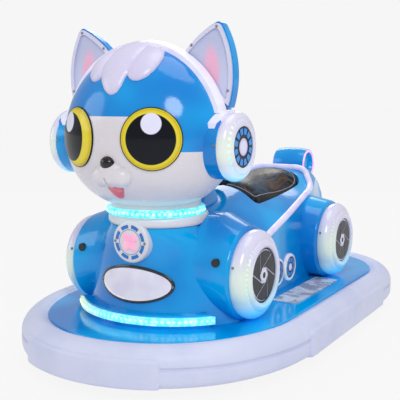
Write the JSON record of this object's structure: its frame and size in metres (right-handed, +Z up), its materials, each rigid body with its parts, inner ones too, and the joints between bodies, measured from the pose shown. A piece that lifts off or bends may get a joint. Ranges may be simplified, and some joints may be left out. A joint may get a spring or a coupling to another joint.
{
  "type": "kiddie bumper car",
  "caption": "Battery-driven kiddie bumper car with a cat-shaped body, headphone lamps, a saddle seat and a soft bumper all round.",
  "frame": {"origin": "on the floor under the middle of the soft bumper", "axes": "+X to the car's left, -Y towards the nose, +Z up"},
  "size_m": [1.014, 1.746, 1.0707],
  "materials": {
    "shell_blue": "gloss",
    "shell_white": "gloss",
    "bumper_lavender": "satin",
    "lamp_white": "satin",
    "light_cyan": "gloss",
    "light_pink": "gloss",
    "light_lavender": "gloss",
    "disc_black": "gloss",
    "seat_leather": "satin",
    "eye_yellow": "gloss",
    "face_black": "gloss",
    "tongue_pink": "gloss",
    "mat_silver": "brushed",
    "frame_steel": "satin",
    "bright_steel": "satin",
    "battery_case": "matte",
    "wheel_rubber": "matte",
    "wheel_black": "matte"
  },
  "bodies": {
    "car": {"base_deck": "shell_blue", "battery_pack": "battery_case", "body_shell": "shell_blue", "bumper_ring": "bumper_lavender", "chassis_frame": "frame_steel", "chest_badge": "shell_white", "corner_lamps": "disc_black", "cup_discs": "disc_black", "cup_lamps": "lamp_white", "dash_console": "shell_blue", "ear_cup_left": "shell_blue", "ear_cup_right": "shell_blue", "ear_left": "shell_blue", "ear_linings": "shell_white", "ear_right": "shell_blue", "exhaust_pipes": "lamp_white", "eye_lenses": "eye_yellow", "eye_rims": "face_black", "foot_mats": "mat_silver", "front_light_strip": "light_cyan", "hair_tuft": "shell_white", "head_crown": "shell_blue", "head_face": "shell_white", "headband": "light_lavender", "muzzle": "shell_white", "name_plate": "shell_white", "neck_collar": "shell_white", "neck_light_ring": "light_cyan", "nose": "face_black", "pipe_discs": "disc_black", "rear_axle": "bright_steel", "saddle_light_tube": "light_lavender", "seat_pad": "seat_leather", "steering_column": "wheel_black", "tail_light_rings": "light_pink", "tail_roll": "shell_blue", "throttle_pedal": "wheel_black", "tongue": "tongue_pink", "wheel_discs_left": "disc_black", "wheel_discs_right": "disc_black", "wheel_lamp_front_left": "lamp_white", "wheel_lamp_front_right": "lamp_white", "wheel_lamp_rear_left": "lamp_white", "wheel_lamp_rear_right": "lamp_white"},
    "steering": {"steering_wheel": "wheel_black"},
    "drive_unit": {"drive_fork": "bright_steel"},
    "drive_wheel": {"drive_wheel_rim": "bright_steel", "drive_wheel_tyre": "wheel_rubber"},
    "rear_wheel_left": {"rear_rim_left": "bright_steel", "rear_tyre_left": "wheel_rubber"},
    "rear_wheel_right": {"rear_rim_right": "bright_steel", "rear_tyre_right": "wheel_rubber"}
  },
  "joints": [
    {"name": "steering_wheel_turn", "type": "hinge", "parent": "car", "child": "steering", "pos_m": [0, -0.13, 0.63], "axis": [0, 0.766, 0.6428], "range_deg": [-120, 120]},
    {"name": "drive_unit_steer", "type": "hinge", "parent": "car", "child": "drive_unit", "pos_m": [0, -0.4, 0.225], "axis": [0, 0, 1], "range_deg": [-60, 60]},
    {"name": "drive_wheel_spin", "type": "hinge", "parent": "drive_unit", "child": "drive_wheel", "pos_m": [0, -0.4, 0.08], "axis": [1, 0, 0], "continuous": true},
    {"name": "rear_wheel_left_spin", "type": "hinge", "parent": "car", "child": "rear_wheel_left", "pos_m": [0.225, 0.38, 0.062], "axis": [1, 0, 0], "continuous": true},
    {"name": "rear_wheel_right_spin", "type": "hinge", "parent": "car", "child": "rear_wheel_right", "pos_m": [-0.225, 0.38, 0.062], "axis": [1, 0, 0], "continuous": true}
  ],
  "couplings": [
    {"joint": "drive_unit_steer", "follows": "steering_wheel_turn", "ratio": 0.5}
  ]
}
